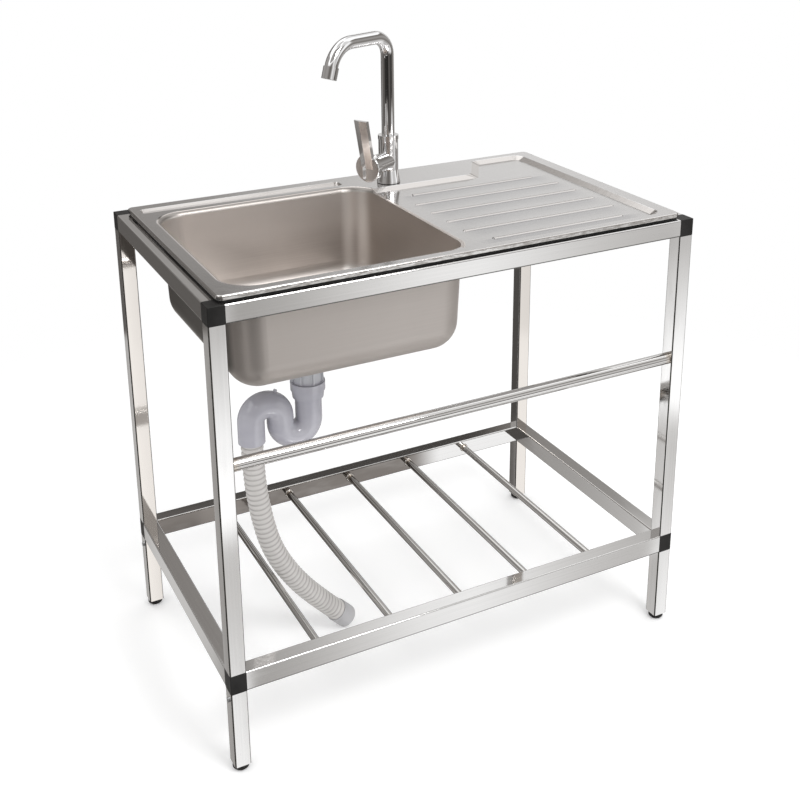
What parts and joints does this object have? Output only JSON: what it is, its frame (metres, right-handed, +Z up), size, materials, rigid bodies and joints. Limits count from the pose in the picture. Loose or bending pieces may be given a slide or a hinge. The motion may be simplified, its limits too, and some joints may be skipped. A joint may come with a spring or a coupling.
{
  "type": "outdoor sink",
  "caption": "Freestanding stainless sink with bowl, ribbed drainboard, swivel tap, trap and ribbed drain hose on a square tube stand with a bar shelf.",
  "frame": {"origin": "on the floor under the middle of the stand", "axes": "+X towards the drainboard, +Y towards the rear where the tap stands, +Z up"},
  "size_m": [0.8044, 0.48, 1.0138],
  "materials": {
    "sink_steel": "satin pressed stainless sheet",
    "frame_steel": "polished stainless tube",
    "bar_steel": "polished stainless rod",
    "black_plastic": "fine moulded matte",
    "black_rubber": "matte",
    "fixing_steel": "plain zinc",
    "waste_steel": "polished pressed sheet",
    "grey_plastic": "smooth moulded",
    "hose_plastic": "ribbed moulded",
    "cuff_plastic": "moulded",
    "chrome": "bright plating",
    "white_plastic": "moulded",
    "brass": "turned"
  },
  "bodies": {
    "stand_and_sink": {"coupling_nut": "grey_plastic", "drain_body": "grey_plastic", "drain_hose": "hose_plastic", "frame_screws": "fixing_steel", "front_left_cap": "black_plastic", "front_left_foot": "black_plastic", "front_left_lower_joint": "black_plastic", "front_left_lower_leg": "frame_steel", "front_left_upper_leg": "frame_steel", "front_lower_rail": "frame_steel", "front_right_cap": "black_plastic", "front_right_foot": "black_plastic", "front_right_lower_joint": "black_plastic", "front_right_lower_leg": "frame_steel", "front_right_upper_leg": "frame_steel", "front_top_rail": "frame_steel", "hose_end_cuff": "cuff_plastic", "left_lower_rail": "frame_steel", "left_top_rail": "frame_steel", "mid_rail": "bar_steel", "rear_left_cap": "black_plastic", "rear_left_foot": "black_plastic", "rear_left_lower_joint": "black_plastic", "rear_left_lower_leg": "frame_steel", "rear_left_upper_leg": "frame_steel", "rear_lower_rail": "frame_steel", "rear_right_cap": "black_plastic", "rear_right_foot": "black_plastic", "rear_right_lower_joint": "black_plastic", "rear_right_lower_leg": "frame_steel", "rear_right_upper_leg": "frame_steel", "rear_top_rail": "frame_steel", "right_lower_rail": "frame_steel", "right_top_rail": "frame_steel", "rim_seal": "black_rubber", "shelf_bar_1": "bar_steel", "shelf_bar_2": "bar_steel", "shelf_bar_3": "bar_steel", "shelf_bar_4": "bar_steel", "shelf_bar_5": "bar_steel", "sink_top": "sink_steel", "spout_collar": "chrome", "spout_seal_rings": "black_rubber", "strainer_cup": "waste_steel", "strainer_gasket": "black_rubber", "strainer_screw": "fixing_steel", "tap_back_nut": "white_plastic", "tap_base_gasket": "black_rubber", "tap_body": "chrome", "trap_bend": "grey_plastic", "trap_seal": "black_rubber", "valve_bonnet": "chrome", "valve_cartridge": "white_plastic"},
    "spout": {"spout_tube": "chrome", "aerator_ring": "chrome", "aerator_insert": "white_plastic"},
    "lever": {"lever_handle": "chrome", "lever_grub_screw": "fixing_steel", "valve_stem": "brass"},
    "basket": {"strainer_basket": "waste_steel"}
  },
  "joints": [
    {"name": "spout_swivel", "type": "hinge", "parent": "stand_and_sink", "child": "spout", "pos_m": [0.0585, 0.152, 0.84], "axis": [0, 0, 1], "continuous": true},
    {"name": "lever_turn", "type": "hinge", "parent": "stand_and_sink", "child": "lever", "pos_m": [0.0585, 0.152, 0.7888], "axis": [-0.8572, -0.515, 0], "range_deg": [0, 90]},
    {"name": "basket_lift", "type": "slide", "parent": "stand_and_sink", "child": "basket", "axis": [0, 0, 1], "range_m": [0, 0.06]}
  ]
}
